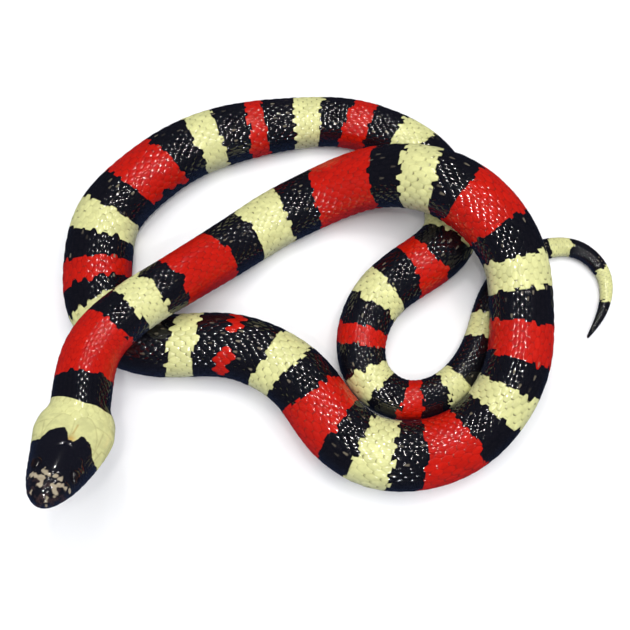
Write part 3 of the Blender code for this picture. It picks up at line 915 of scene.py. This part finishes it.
def noise_on_object(tree, scale):
    """Return the output of a noise texture on Object coordinates."""
    place = add_node(tree, "ShaderNodeTexCoord", {}).outputs["Object"]
    inputs = {"Vector": place, "Scale": scale, "Detail": 3.0}
    return add_node(tree, "ShaderNodeTexNoise", inputs).outputs["Fac"]


def map_range(tree, value, low, high, to_low=0.0, to_high=1.0):
    """Stretch a value smoothly from one range to another, and keep it inside that."""
    node = add_node(tree, "ShaderNodeMapRange", {"Value": value}, interpolation_type="SMOOTHSTEP")
    feed(tree, node, {"From Min": low, "From Max": high, "To Min": to_low, "To Max": to_high})
    return node.outputs["Result"]


def times(tree, first, second):
    """Multiply two values."""
    node = add_node(tree, "ShaderNodeMath", {0: first, 1: second}, operation="MULTIPLY")
    return node.outputs["Value"]


def mix_colour(tree, share, first, second, how="MIX"):
    """Mix two colours, each a socket or three numbers, by a share."""
    node = add_node(tree, "ShaderNodeMix", {}, data_type="RGBA", blend_type=how)
    used = [number for number, socket in enumerate(node.inputs) if socket.enabled]
    first, second = [colour if isinstance(colour, bpy.types.NodeSocket) else (*colour, 1)
                     for colour in (first, second)]
    feed(tree, node, dict(zip(used, (share, first, second))))
    return [socket for socket in node.outputs if socket.enabled][0]


def ramp_colour(tree, value, stops, interpolation):
    """Turn a value into a colour by a ramp of stops, each a start and a colour."""
    node = add_node(tree, "ShaderNodeValToRGB", {"Fac": value})
    node.color_ramp.interpolation = interpolation
    elements = node.color_ramp.elements
    while len(elements) < len(stops):
        elements.new(0.5)
    for element, (start, colour) in zip(elements, stops):
        element.position = start
        element.color = (*colour, 1)
    return node.outputs["Color"]


def mottled(tree, colour, scale, darkest, lightest, spread=0.25):
    """Multiply a colour by fine noise, stretched from the darkest to the lightest."""
    grain = noise_on_object(tree, scale)
    shade = map_range(tree, grain, 0.5 - spread, 0.5 + spread, darkest, lightest)
    return mix_colour(tree, 1.0, colour, shade, "MULTIPLY")


print("helpers for nodes are ready")

# %% Scale and skin materials
COAT_IOR = 2.4  # a strong, hard mirror, as of wet horn
COAT_ROUGHNESS = 0.13
BUMP_NOISE = 2500.0
BUMP_STRENGTH, BUMP_HEIGHT = 0.25, 0.00001
EDGE_BLUR = 0.07  # half the width over which one ring turns to the next
BLOT_SIDE, BLOT_BACK = (-0.35, 0.1), (0.5, 0.65)  # its edge across and along
DOT_COLOUR, DOT_AT = (0.035, 0.022, 0.012), (0.82, 0.96)
GROOVE_SHADE = (0.30, 0.22, 0.15)


def horn_finish(tree, shader, colour, roughness, coat):
    """Give a shader its colour and the gloss of scale: a clear coat on uneven horn."""
    uneven = noise_on_object(tree, BUMP_NOISE)
    bump = add_node(tree, "ShaderNodeBump", {
        "Strength": BUMP_STRENGTH, "Distance": BUMP_HEIGHT, "Height": uneven})
    feed(tree, shader, {
        "Base Color": colour, "Normal": bump.outputs["Normal"],
        "Roughness": map_range(tree, uneven, 0.3, 0.7, roughness * 0.8, roughness * 1.25),
        "Specular IOR Level": 0.0, "Coat Weight": coat, "Coat IOR": COAT_IOR,
        "Coat Roughness": COAT_ROUGHNESS})


def kind_colour(tree, kind, colours):
    """Turn a kind of colour, stored as 0, a half or 1, into the colour itself."""
    return ramp_colour(tree, kind, list(zip((0.0, 0.25, 0.75), colours)), "CONSTANT")


def scale_material():
    """Scales: the two colours that meet on a scale, the painted shade of its rim, painted shade
    and reflection low on the flank, its tip and mottling.
    """
    material, tree, shader = node_material("horn_scales")
    before, after, bright = attribute_parts(tree, "kinds")
    past, flank_painted_light, blot = attribute_parts(tree, "ring")
    along, rim, dot = attribute_parts(tree, "on_scale")
    crossed = map_range(tree, past, -EDGE_BLUR, EDGE_BLUR)
    # The edge colour is painted shade where the scales overlap; the lower colour is painted shade
    # low on the flank, and on black a painted blue reflection.
    middle, edge, lower = [
        mix_colour(tree, crossed, *(kind_colour(tree, kind, colours) for kind in (before, after)))
        for colours in (SCALE_COLOURS, RIM_SHADE_COLOURS, FLANK_SHADE_AND_REFLECTION)]
    middle = mix_colour(tree, flank_painted_light, middle, lower)
    inside = map_range(tree, rim, *BLOT_SIDE, 1.0, 0.0)
    oval = times(tree, inside, map_range(tree, along, *BLOT_BACK))
    middle = mix_colour(tree, times(tree, blot, oval), middle, 0.5 * BUFF)
    body = mix_colour(tree, map_range(tree, rim, 0.0, 1.0), middle, edge)
    tip = times(tree, map_range(tree, along, *DOT_AT), dot)
    body = mix_colour(tree, tip, body, DOT_COLOUR)
    body = mottled(tree, body, scale=900.0, darkest=0.90, lightest=1.06)
    body = mix_colour(tree, 1.0, body, bright, "MULTIPLY")
    horn_finish(tree, shader, body, roughness=0.32, coat=0.5)
    return material


def skin_material():
    """Skin: its own colour, darker in the seams."""
    material, tree, shader = node_material("snake_skin")
    colour = attribute(tree, "skin_colour", "Color")
    dark = mix_colour(tree, 1.0, colour, GROOVE_SHADE, "MULTIPLY")
    body = mix_colour(tree, attribute(tree, "groove", "Fac"), colour, dark)
    body = mottled(tree, body, scale=700.0, darkest=0.86, lightest=1.08)
    horn_finish(tree, shader, body, roughness=0.28, coat=0.75)
    return material


HORN = scale_material()
SKIN = skin_material()
skin = make_mesh("skin", skin_vertices, skin_faces, SKIN)
paint(skin, "skin_colour", np.column_stack([colours, np.ones(len(colours))]))
paint(skin, "groove", skin_grooves)
print("skin has", len(skin.data.polygons), "faces")

# %% [markdown]
# ## The scales
#
# Scales stand in rows along the body, each row half a scale behind the next, so they
# interlock like roof tiles. One scale is a small closed shell: a lozenge grid, domed
# in the middle, with its root sunk in the skin and its tip lifted over the next root.
# All scales are worked out in one go, as an array of scale by row by column. The count
# of rows falls towards the tip of the tail, as it does on the real animal.

# %% One scale
ALONG = 8  # points from root to tip
WIDE = 7  # points from side to side
TILE_WIDEST = -0.05
TILE_POINT, TILE_FULL = 1.9, 0.72  # how blunt the ends are, how full the sides
ROOT_SINK = -0.05
TIP_LIFT = 0.15
DOME = 0.17
DOME_ALONG, DOME_ACROSS, DOME_DROP = 2.3, 2.1, 0.9  # its two powers, and the sides' fall
tile_t = -np.cos(math.pi * np.arange(ALONG) / (ALONG - 1))
tile_v = np.linspace(-1, 1, WIDE)
tile_reach = np.where(tile_t < TILE_WIDEST, (TILE_WIDEST - tile_t) / (TILE_WIDEST + 1),
                      (tile_t - TILE_WIDEST) / (1 - TILE_WIDEST))
tile_width = np.clip(1 - tile_reach ** TILE_POINT, 0, 1) ** TILE_FULL
# Root and tip are single points; the rows between have WIDE points each.
tile_x = np.concatenate([[tile_t[0]], np.repeat(tile_t[1:-1], WIDE), [tile_t[-1]]])
tile_y = np.concatenate([[0.0], (tile_width[1:-1, None] * tile_v).ravel(), [0.0]])
tile_side = np.concatenate([[0.0], np.tile(tile_v, ALONG - 2), [0.0]])
tile_u = (tile_x + 1) / 2
tile_dome = (1 - np.abs(tile_x) ** DOME_ALONG) * (1 - DOME_DROP * np.abs(tile_side) ** DOME_ACROSS)
tile_rise = ROOT_SINK + TIP_LIFT * tile_u + DOME * tile_dome


def tile_faces():
    """Return the faces of one scale: a fan, strips of quads, a fan and one underside."""
    last = len(tile_x) - 1
    faces = []
    for j in range(WIDE - 1):
        faces.append((0, 1 + j, 2 + j))
        faces.append((last, last - WIDE + j + 1, last - WIDE + j))
        for i in range(ALONG - 3):
            a = 1 + i * WIDE + j
            faces.append((a, a + WIDE, a + WIDE + 1, a + 1))
    left = [1 + i * WIDE for i in range(ALONG - 2)]
    right = [i * WIDE + WIDE for i in range(ALONG - 2)]
    faces.append(tuple([0] + right + [last] + left[::-1]))
    return [face[::-1] for face in faces]


TILE = tile_faces()
print(len(TILE), "faces in one scale")

# %% [markdown]
# The spacing along the body grows with its width. The rows are a little wider low on
# the flanks, and the lowest is the widest. A small random shift, size and brightness
# for each scale keeps the coat from looking stamped.

# %% Places of all the scales
BELLY_SHARE = 0.775  # the broad belly plates start here
ROW_ZONES = [(8.3, 23), (416.0, 19), (433.0, 15), (450.0, 13), (466.0, 11), (480.0, 9),
             (492.0, 7), (504.0, 0)]
THROAT_ROWS, THROAT_END = 4, 15.5
LEAST_GAP, GAP_PER_WIDTH = 0.42, 0.138
NECK_GAP, NECK_END = 0.82, (25.0, 60.0)  # the neck's scales stand this much closer
FLANK_ROWS, LAST_ROW = 0.55, 0.25  # how much wider the low rows are, and the last
SCALE_LENGTH = 1.36  # over the spacing
# Where scales start behind the shields, by the share of the way round.
HEAD_LINE = [(0.0, 12.3), (0.08, 13.2), (0.16, 13.2), (0.22, 12.4), (0.30, 12.2),
             (0.42, 12.1), (0.47, 10.4), (0.60, 9.6), (0.72, 8.0), (1.0, 7.9)]
UNDER_SHIELDS = 0.35  # the first roots reach this far under the shields
rng = np.random.default_rng(5)


def spacing(places):
    """Return the distance from one scale to the next in its row, in millimetres."""
    neck = NECK_GAP + (1 - NECK_GAP) * smooth_step(places, *NECK_END)
    return (LEAST_GAP + GAP_PER_WIDTH * steady_curve(WIDTHS, places)) * neck


def stations(start, end):
    """Step from start to end by the local spacing."""
    found = [start]
    while found[-1] < end:
        found.append(found[-1] + float(spacing(np.array([found[-1]]))[0]))
    return np.array(found)


def row_shares(rows):
    """Return each row's middle and half width, as shares of the way round."""
    side = np.abs(np.arange(rows) - rows // 2) / (rows // 2)
    wide = 1 + FLANK_ROWS * side ** 2 + LAST_ROW * (side == 1)
    wide = wide / wide.sum() * 2 * BELLY_SHARE
    return BELLY_SHARE - np.cumsum(wide) + wide / 2, wide / 2


def throat_rows(count):
    """Return rows of the same kind between the flanks and the middle of the throat."""
    wide = (1 - BELLY_SHARE) / count
    middle = BELLY_SHARE + wide * (np.arange(count) + 0.5)
    return np.concatenate([middle, -middle]), np.full(2 * count, wide / 2)


def scale_table(here, middles, halves, odd):
    """Return distance, share, spacing and half width; odd rows are half a step back."""
    gap = spacing(here)[:, None]
    parts = np.broadcast_arrays(here[:, None] + odd * gap / 2, middles, gap, halves)
    return np.stack(parts, axis=-1).reshape(-1, 4)


def lay_scales():
    """Return the table of every scale behind the shields, from the snout to the tail."""
    steps = stations(ROW_ZONES[0][0], LENGTH - 0.6)
    parts = []
    for (start, rows), (end, _) in zip(ROW_ZONES, ROW_ZONES[1:]):
        odd = np.abs(np.arange(rows) - rows // 2) % 2
        here = steps[(steps >= start) & (steps < end)]
        parts.append(scale_table(here, *row_shares(rows), odd))
    odd = np.tile(np.arange(THROAT_ROWS) % 2, 2)
    parts.append(scale_table(steps[steps < THROAT_END], *throat_rows(THROAT_ROWS), odd))
    table = np.concatenate(parts)
    start = np.interp(np.abs(table[:, 1]), *np.array(HEAD_LINE).T) - UNDER_SHIELDS
    table = table[table[:, 0] - 0.5 * table[:, 2] > start]
    return table[np.argsort(table[:, 0], kind="stable")]


laid = lay_scales()
print(len(laid), "scales")

# %% [markdown]
# The colour may change in the middle of a scale. Each scale knows the nearest ring end,
# the kind of colour on either side of it, and at every point how far past it lies. A
# share of the scale's own middle is mixed into that distance, so the ring's edge is
# drawn out into small teeth. Low on the flanks each colour turns darker with painted
# shade, and black turns to a painted blue reflection. The tips of cream and red scales
# carry a dark dot, and a few black scales have a buff blot.

# %% Marks of each scale, and the unwrap
TOOTH = 0.3  # nought leaves the ring's edge smooth
TOOTH_START = (17.5, 24.0)  # the collar's edge is smooth
RING_JITTER = 0.3  # how unevenly scales stand at a ring's edge
# The flank colour is painted shade, and on black a painted blue reflection; it sets in over this
# share of the way round.
FLANK_PAINTED_LIGHT_START = (0.25, 0.62)  # where the duller colour of the flank sets in
UNWRAP_PATCH = 0.003


def ring_marks(middle_place, middle_share, places, shares):
    """Return both kinds at the nearest ring end, and how far past it each point is."""
    middle = ring_place(middle_place, angle_at(middle_share))[:, None]
    points = ring_place(places, angle_at(shares))
    tooth = smooth_step(middle_place, *TOOTH_START)[:, None]
    jitter = RING_JITTER * rng.standard_normal(len(middle_place))[:, None]
    spot = points + TOOTH * tooth * (middle - points) + jitter * tooth
    nearest_end = np.abs(middle - ring_ends[None, :-1]).argmin(axis=1)
    before, after = ring_kinds[nearest_end], ring_kinds[nearest_end + 1]
    for flecks, kind in ((RED_FLECKS, 2), (BLACK_FLECKS, 0)):
        fleck = in_fleck(middle_place, middle_share, flecks)
        before, after = np.where(fleck, kind, before), np.where(fleck, kind, after)
    return before, after, spot - ring_ends[nearest_end][:, None]


def paint_marks(item, before, after, past, share, bright, blot):
    """Store the kinds, the distance past the ring end, the share of painted flank shade and
    reflection, and the blots.
    """
    kinds = np.stack([before / 2, after / 2, bright], axis=1)
    paint(item, "kinds", np.repeat(kinds, past.shape[1], axis=0))
    # How much of the painted shade and reflection of the flank each point takes.
    flank_painted_light = smooth_step(np.abs(share), *FLANK_PAINTED_LIGHT_START)
    ring = np.stack(np.broadcast_arrays(past, flank_painted_light, blot[:, None]), axis=-1)
    paint(item, "ring", ring.reshape(-1, 3))


def sheet_place(places, shares):
    """Return places on the unwrapped sheet: along by the distance, up by the share."""
    return np.stack([0.002 + 0.99 * places / LENGTH, 0.5 + 0.49 * shares], axis=-1)


def unwrap(item, places):
    """Store the unwrap, one place for each point."""
    layer = item.data.uv_layers.new(name="OFBake")
    corner = np.zeros(len(item.data.loops), np.int32)
    item.data.loops.foreach_get("vertex_index", corner)
    layer.data.foreach_set("uv", places[corner].astype(np.float32).ravel())


def on_body(places):
    """Keep distances between the snout and the tip of the tail."""
    return np.clip(places, 0.3, LENGTH - 0.05)


print("a tooth is", TOOTH, "of a scale")

# %% Build the scales
TIP_DOTS = np.array([0.0, 0.55, 0.4])  # the tip's dark dot: black, cream, red
DOT_START = (22.0, 34.0)
BLOT_SHARE = 0.22  # of the black scales along the back
BLOT_REACH = 0.25  # the share of the way round with blots
BLOT_START = (40.0, 70.0)
# The rim's colour is painted shade where the scales overlap; it begins here, by kind.
RIM_SHADE_STARTS = np.array([0.30, 0.58, 0.50])  # where the rim's colour begins, by kind
SCALE_WIDTH = 1.9  # half width over that of the row
FULL_GAP = 2.1  # scales this far apart rise in full
SHOWN_MIDDLE = 0.12  # the part that shows lies behind the middle
SIZE_SPREAD, SHIFT_SPREAD, TURN_SPREAD = 0.04, 0.03, 0.05
RISE_SPREAD, BRIGHT_SPREAD = 0.08, 0.04
NECK_RISE, NECK_RISE_END = 0.55, (16.0, 30.0)
FLANK_RISE, FLANK_RISE_START = 0.25, (0.3, 0.75)
CREASE = 50  # degrees; sharper edges are shaded sharp


def scale_points(table):
    """Return every scale's points in the world, and their distances and shares."""
    place, share, gap, half_share = [table[:, i][:, None] for i in range(4)]
    count = len(table)
    size = 1 + SIZE_SPREAD * rng.standard_normal((count, 1))
    shift = SHIFT_SPREAD * rng.standard_normal((count, 2))
    turn = TURN_SPREAD * rng.standard_normal((count, 1))
    uneven = 1 + RISE_SPREAD * rng.standard_normal((count, 1))
    x = tile_x * SCALE_LENGTH * gap * size / 2 + shift[:, :1] * gap
    y = tile_y * SCALE_WIDTH * half_share * size + (turn * tile_x + shift[:, 1:]) * half_share
    neck = NECK_RISE + (1 - NECK_RISE) * smooth_step(place, *NECK_RISE_END)
    low = 1 + FLANK_RISE * smooth_step(np.abs(share), *FLANK_RISE_START)
    rise = tile_rise * np.clip(gap / FULL_GAP, 0.35, 1.05) * neck * uneven * low - SKIN_SINK
    places, shares = on_body(place + x), share + y
    return raised(places, angle_at(shares), rise), places, shares


def build_scales(name, low, high):
    """Make one piece of the coat, between two distances along the body."""
    table = laid[(laid[:, 0] >= low) & (laid[:, 0] < high)]
    place, share = table[:, 0], table[:, 1]
    points, places, shares = scale_points(table)
    count, each = len(table), len(tile_x)
    shift = (np.arange(count) * each)[:, None, None]
    groups = [[face for face in TILE if len(face) == size] for size in (4, 3)] + [[TILE[-1]]]
    faces = [(np.array(part) + shift).reshape(-1, len(part[0])) for part in groups]
    item = make_mesh(name, points.reshape(-1, 3), faces, HORN, sharp=CREASE)
    shown = place + SHOWN_MIDDLE * SCALE_LENGTH * table[:, 2]
    before, after, past = ring_marks(shown, share, places, shares)
    bright = 1 + BRIGHT_SPREAD * rng.standard_normal(count)
    at_tip = np.where(past[:, -1] > 0, after, before)
    blot = (at_tip == 0) & (rng.uniform(size=count) < BLOT_SHARE) & (np.abs(share) < BLOT_REACH)
    blot = blot * rng.uniform(0.1, 1.0, count) * smooth_step(place, *BLOT_START)
    paint_marks(item, before, after, past, shares, bright, blot)
    dot = TIP_DOTS[at_tip] * rng.uniform(0.2, 1.4, count) * smooth_step(place, *DOT_START)
    start = RIM_SHADE_STARTS[at_tip][:, None]
    rim = (np.maximum(np.abs(tile_side), np.abs(tile_x) ** 6) - start) / (1 - start)
    spot = np.stack(np.broadcast_arrays(tile_u, rim, dot[:, None]), axis=-1)
    paint(item, "on_scale", spot.reshape(-1, 3))
    patch = np.stack([tile_x / 2, tile_y / 2], axis=1) * UNWRAP_PATCH
    unwrap(item, (sheet_place(place, share)[:, None] + patch).reshape(-1, 2))
    print(name, count, "scales,", len(item.data.polygons), "faces")
    return item


coat = [build_scales(name, low, high) for name, low, high in (
    ("scales_neck", 0, 60), ("scales_front", 60, 200), ("scales_middle", 200, 330),
    ("scales_rear", 330, LENGTH))]

# %% [markdown]
# ## The belly plates
#
# Under the body a snake has one broad plate for each step of the scales, from flank to
# flank, and under the tail two side by side. A plate is a grid that follows the belly,
# its back edge standing over the next plate. Its underside is a second, coarser sheet,
# so the plate is closed.

# %% One belly plate
PLATE_START = 14.8
VENT = 432.0  # behind it the plates lie in pairs
PAIR_OVERLAP = 0.02
PLATE_OVERLAP = 0.035  # the plates reach under the lowest row by this share
PLATE_WIDE = 21
PLATE_LENGTH = 1.3  # over the spacing
PLATE_BOW = 0.25
plate_u = np.array([0.0, 0.3, 0.6, 0.85, 1.0, 1.0, 0.0])  # the last two lie underneath
plate_rise = np.concatenate([-0.05 + 0.125 * plate_u[:5], -0.07 + 0.10 * plate_u[5:]])


def plate_points(place, gap, first, last):
    """Return a plate's points: five rows on top, and tip and root again underneath."""
    v = np.linspace(0, 1, PLATE_WIDE)
    u = plate_u[:, None]
    share = first + (last - first) * v
    x = (u * PLATE_LENGTH - 0.5 + PLATE_BOW * (1 - (2 * v - 1) ** 2) * u) * gap
    ends = 0.35 + 0.65 * (1 - np.abs(2 * v - 1) ** 12)
    rise = plate_rise[:, None] * ends - SKIN_SINK
    share, places, rise = np.broadcast_arrays(share, on_body(place + x), rise)
    return raised(places, angle_at(share), rise), places, share


print(PLATE_WIDE * len(plate_u), "points in a plate")

# %% Build the belly plates
def build_plates(name):
    """Make all the belly plates as one piece."""
    steps = stations(PLATE_START, LENGTH - 1.0)
    body, tail = steps[steps < VENT], steps[steps >= VENT]
    edge, counts = BELLY_SHARE - PLATE_OVERLAP, [len(body), len(tail), len(tail)]
    place = np.concatenate([body, tail, tail + spacing(tail) / 2])
    first = np.repeat([edge, edge, 1 - PAIR_OVERLAP], counts)
    last = np.repeat([2 - edge, 1 + PAIR_OVERLAP, 2 - edge], counts)
    points, places, shares = plate_points(
        *(part[:, None, None] for part in (place, spacing(place), first, last)))
    rows, count = len(plate_u), len(place)
    each = rows * PLATE_WIDE
    i, j = np.meshgrid(np.arange(rows), np.arange(PLATE_WIDE - 1), indexing="ij")
    a = (i * PLATE_WIDE + j).ravel()
    b = ((i + 1) % rows * PLATE_WIDE + j).ravel()
    side = np.arange(rows) * PLATE_WIDE
    shift = (np.arange(count) * each)[:, None, None]
    faces = [(part + shift).reshape(-1, part.shape[-1]) for part in (
        np.stack([a, a + 1, b + 1, b], axis=1), side, (side + PLATE_WIDE - 1)[::-1])]
    item = make_mesh(name, points.reshape(-1, 3), faces, HORN, sharp=CREASE)
    places, shares = places.reshape(count, -1), shares.reshape(count, -1)
    before, after, past = ring_marks(place, wrapped((first + last) / 2), places, shares)
    shares = wrapped(shares)
    paint_marks(item, before, after, past, shares, np.ones(count), np.zeros(count))
    u = np.tile(np.repeat(plate_u, PLATE_WIDE), count)
    # Towards its back edge the plate takes the painted shade of the edge colour.
    paint(item, "on_scale", np.stack([0.75 * u, u ** 6, 0 * u], axis=1))
    patch = np.stack([0.5 * UNWRAP_PATCH * u, 0 * u], axis=1)
    unwrap(item, sheet_place(np.repeat(place, each), shares.ravel()) + patch)
    print(count, "belly plates,", len(item.data.polygons), "faces")
    return item


plates = build_plates("belly_plates")

# %% [markdown]
# ## The eyes
#
# A snake has no lids: a clear scale covers the eye and the ring of small scales round
# it stands up as a rim. Each eye is a ball under a wet clear coat. The pupil is round
# and the iris is nearly black, so the colour is a ramp by the angle from the line of
# sight, stored on the points.

# %% Build the eyes
EYE_ROUND = 48
EYE_RINGS = 25
EYE_SIGHT = (0.93, -0.28, 0.22)  # outwards, back and up
EYE_STOPS = [(0.0, (0.001, 0.001, 0.002)), (0.155, (0.001, 0.001, 0.002)),
             (0.165, (0.05, 0.022, 0.010)), (0.20, (0.012, 0.006, 0.004)),
             (0.33, (0.004, 0.003, 0.003))]


def unit(vector):
    """Return the vector made one long."""
    return vector / np.linalg.norm(vector)


def build_eye(name, side):
    """Make an eye as rings of points round its line of sight, which looks sideways."""
    _, back, left, up = [part[0] for part in spine_frames(np.array([EYE_AT[0]]))]
    sight = unit(side * left * EYE_SIGHT[0] + back * EYE_SIGHT[1] + up * EYE_SIGHT[2])
    first = unit(np.cross(sight, up))
    second = np.cross(sight, first)
    polar = np.linspace(0, math.pi, EYE_RINGS)[1:-1]
    turn = ring_angles(EYE_ROUND)[:, None]
    ring = np.cos(turn) * first + np.sin(turn) * second
    balls = np.cos(polar)[:, None, None] * sight + np.sin(polar)[:, None, None] * ring
    points = EYES[name] + EYE_RADIUS * np.concatenate([[sight], balls.reshape(-1, 3), [-sight]])
    starts = 1 + np.arange(len(polar)) * EYE_ROUND
    faces = [fan_faces(0, 1, EYE_ROUND, False)]
    faces += [ring_faces(start, start + EYE_ROUND, EYE_ROUND) for start in starts[:-1]]
    faces.append(fan_faces(len(points) - 1, starts[-1], EYE_ROUND, True))
    item = make_mesh(name + "_ball", points, faces, EYE)
    paint(item, "gaze", np.concatenate([[0.0], np.repeat(polar, EYE_ROUND), [math.pi]]) / math.pi)
    return item


def eye_material():
    """A black pupil, a thin amber edge, a brown-black iris and a wet coat."""
    material, tree, shader = node_material("wet_eye", roughness=0.12)
    colour = ramp_colour(tree, attribute(tree, "gaze", "Fac"), EYE_STOPS, "LINEAR")
    colour = mottled(tree, colour, scale=6000.0, darkest=0.7, lightest=1.2, spread=0.2)
    feed(tree, shader, {"Base Color": colour, "Coat Weight": 1.0, "Coat Roughness": 0.03})
    return material


EYE = eye_material()
eyes = {name: build_eye(name, side) for name, side in SIDES.items()}
print("eyes at", [np.round(spot, 2).tolist() for spot in EYES.values()])

# %% [markdown]
# ## Joining the frame
#
# Every piece rides on the one body of the part. The skin stands for all the solids of
# flesh, and each fine eye for its plain one.

# %% Ride and replace
flesh = [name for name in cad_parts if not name.startswith("eye_")]
for piece in [skin, plates, *coat, *eyes.values()]:
    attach(piece, "root")
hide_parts(*flesh)
for name, piece in eyes.items():
    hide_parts(name)
